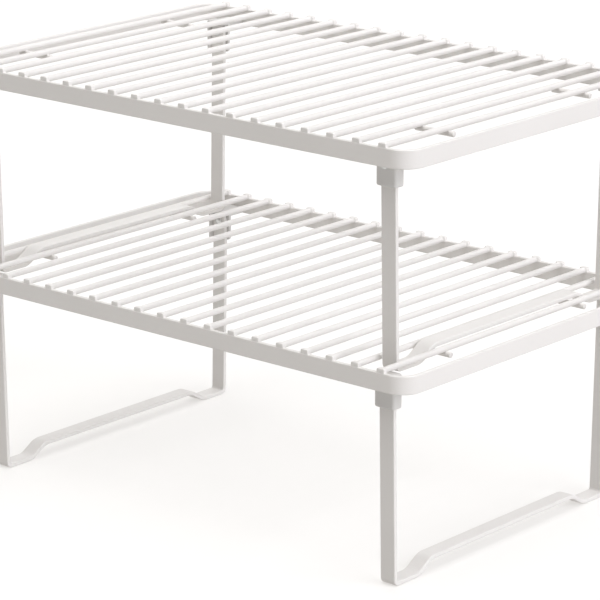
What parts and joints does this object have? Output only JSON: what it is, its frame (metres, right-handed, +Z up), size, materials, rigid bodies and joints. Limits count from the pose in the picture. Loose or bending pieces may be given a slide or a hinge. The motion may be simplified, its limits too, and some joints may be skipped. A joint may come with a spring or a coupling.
{
  "type": "tiered shelf riser",
  "caption": "Two-tier kitchen shelf riser: white wire decks in flat-bar rails, stacked on fold-in U-shaped legs with arched feet and hinge blocks.",
  "frame": {"origin": "on the floor, under the middle of the stack, at the bottom centre of its bounding box", "axes": "+Z up; X along the shelves' length, with the left leg frames at -X; -Y is the front long side, and every deck wire runs along Y"},
  "size_m": [0.42, 0.279, 0.3003],
  "materials": {
    "white_steel": "white powder coat, satin",
    "hinge_plastic": "moulded, fine matt",
    "pin_steel": "zinc plated, satin"
  },
  "bodies": {
    "lower_deck": {"lower_rail": "white_steel", "lower_wire_03": "white_steel", "lower_wire_04": "white_steel", "lower_wire_05": "white_steel", "lower_wire_06": "white_steel", "lower_wire_07": "white_steel", "lower_wire_08": "white_steel", "lower_wire_09": "white_steel", "lower_wire_10": "white_steel", "lower_wire_11": "white_steel", "lower_wire_12": "white_steel", "lower_wire_13": "white_steel", "lower_wire_14": "white_steel", "lower_wire_15": "white_steel", "lower_wire_16": "white_steel", "lower_wire_17": "white_steel", "lower_left_end_grid": "white_steel", "lower_right_end_grid": "white_steel", "lower_front_left_hinge_block": "hinge_plastic", "lower_front_right_hinge_block": "hinge_plastic", "lower_back_left_hinge_block": "hinge_plastic", "lower_back_right_hinge_block": "hinge_plastic", "lower_front_left_pivot_pin": "pin_steel", "lower_front_right_pivot_pin": "pin_steel", "lower_back_left_pivot_pin": "pin_steel", "lower_back_right_pivot_pin": "pin_steel"},
    "lower_left_leg": {"lower_left_leg_frame": "white_steel"},
    "lower_right_leg": {"lower_right_leg_frame": "white_steel"},
    "upper_shelf": {"upper_rail": "white_steel", "upper_wire_03": "white_steel", "upper_wire_04": "white_steel", "upper_wire_05": "white_steel", "upper_wire_06": "white_steel", "upper_wire_07": "white_steel", "upper_wire_08": "white_steel", "upper_wire_09": "white_steel", "upper_wire_10": "white_steel", "upper_wire_11": "white_steel", "upper_wire_12": "white_steel", "upper_wire_13": "white_steel", "upper_wire_14": "white_steel", "upper_wire_15": "white_steel", "upper_wire_16": "white_steel", "upper_wire_17": "white_steel", "upper_left_end_grid": "white_steel", "upper_right_end_grid": "white_steel", "upper_front_left_hinge_block": "hinge_plastic", "upper_front_right_hinge_block": "hinge_plastic", "upper_back_left_hinge_block": "hinge_plastic", "upper_back_right_hinge_block": "hinge_plastic", "upper_front_left_pivot_pin": "pin_steel", "upper_front_right_pivot_pin": "pin_steel", "upper_back_left_pivot_pin": "pin_steel", "upper_back_right_pivot_pin": "pin_steel", "upper_left_leg_frame": "white_steel", "upper_right_leg_frame": "white_steel"}
  },
  "joints": [
    {"name": "lower_left_leg_fold", "type": "hinge", "parent": "lower_deck", "child": "lower_left_leg", "pos_m": [-0.1785, 0, 0.1363], "axis": [0, -1, 0], "range_deg": [0, 90]},
    {"name": "lower_right_leg_fold", "type": "hinge", "parent": "lower_deck", "child": "lower_right_leg", "pos_m": [0.1785, 0, 0.1363], "axis": [0, 1, 0], "range_deg": [0, 90]},
    {"name": "upper_shelf_lift", "type": "slide", "parent": "lower_deck", "child": "upper_shelf", "axis": [0, 0, 1], "range_m": [0, 0.06]}
  ]
}
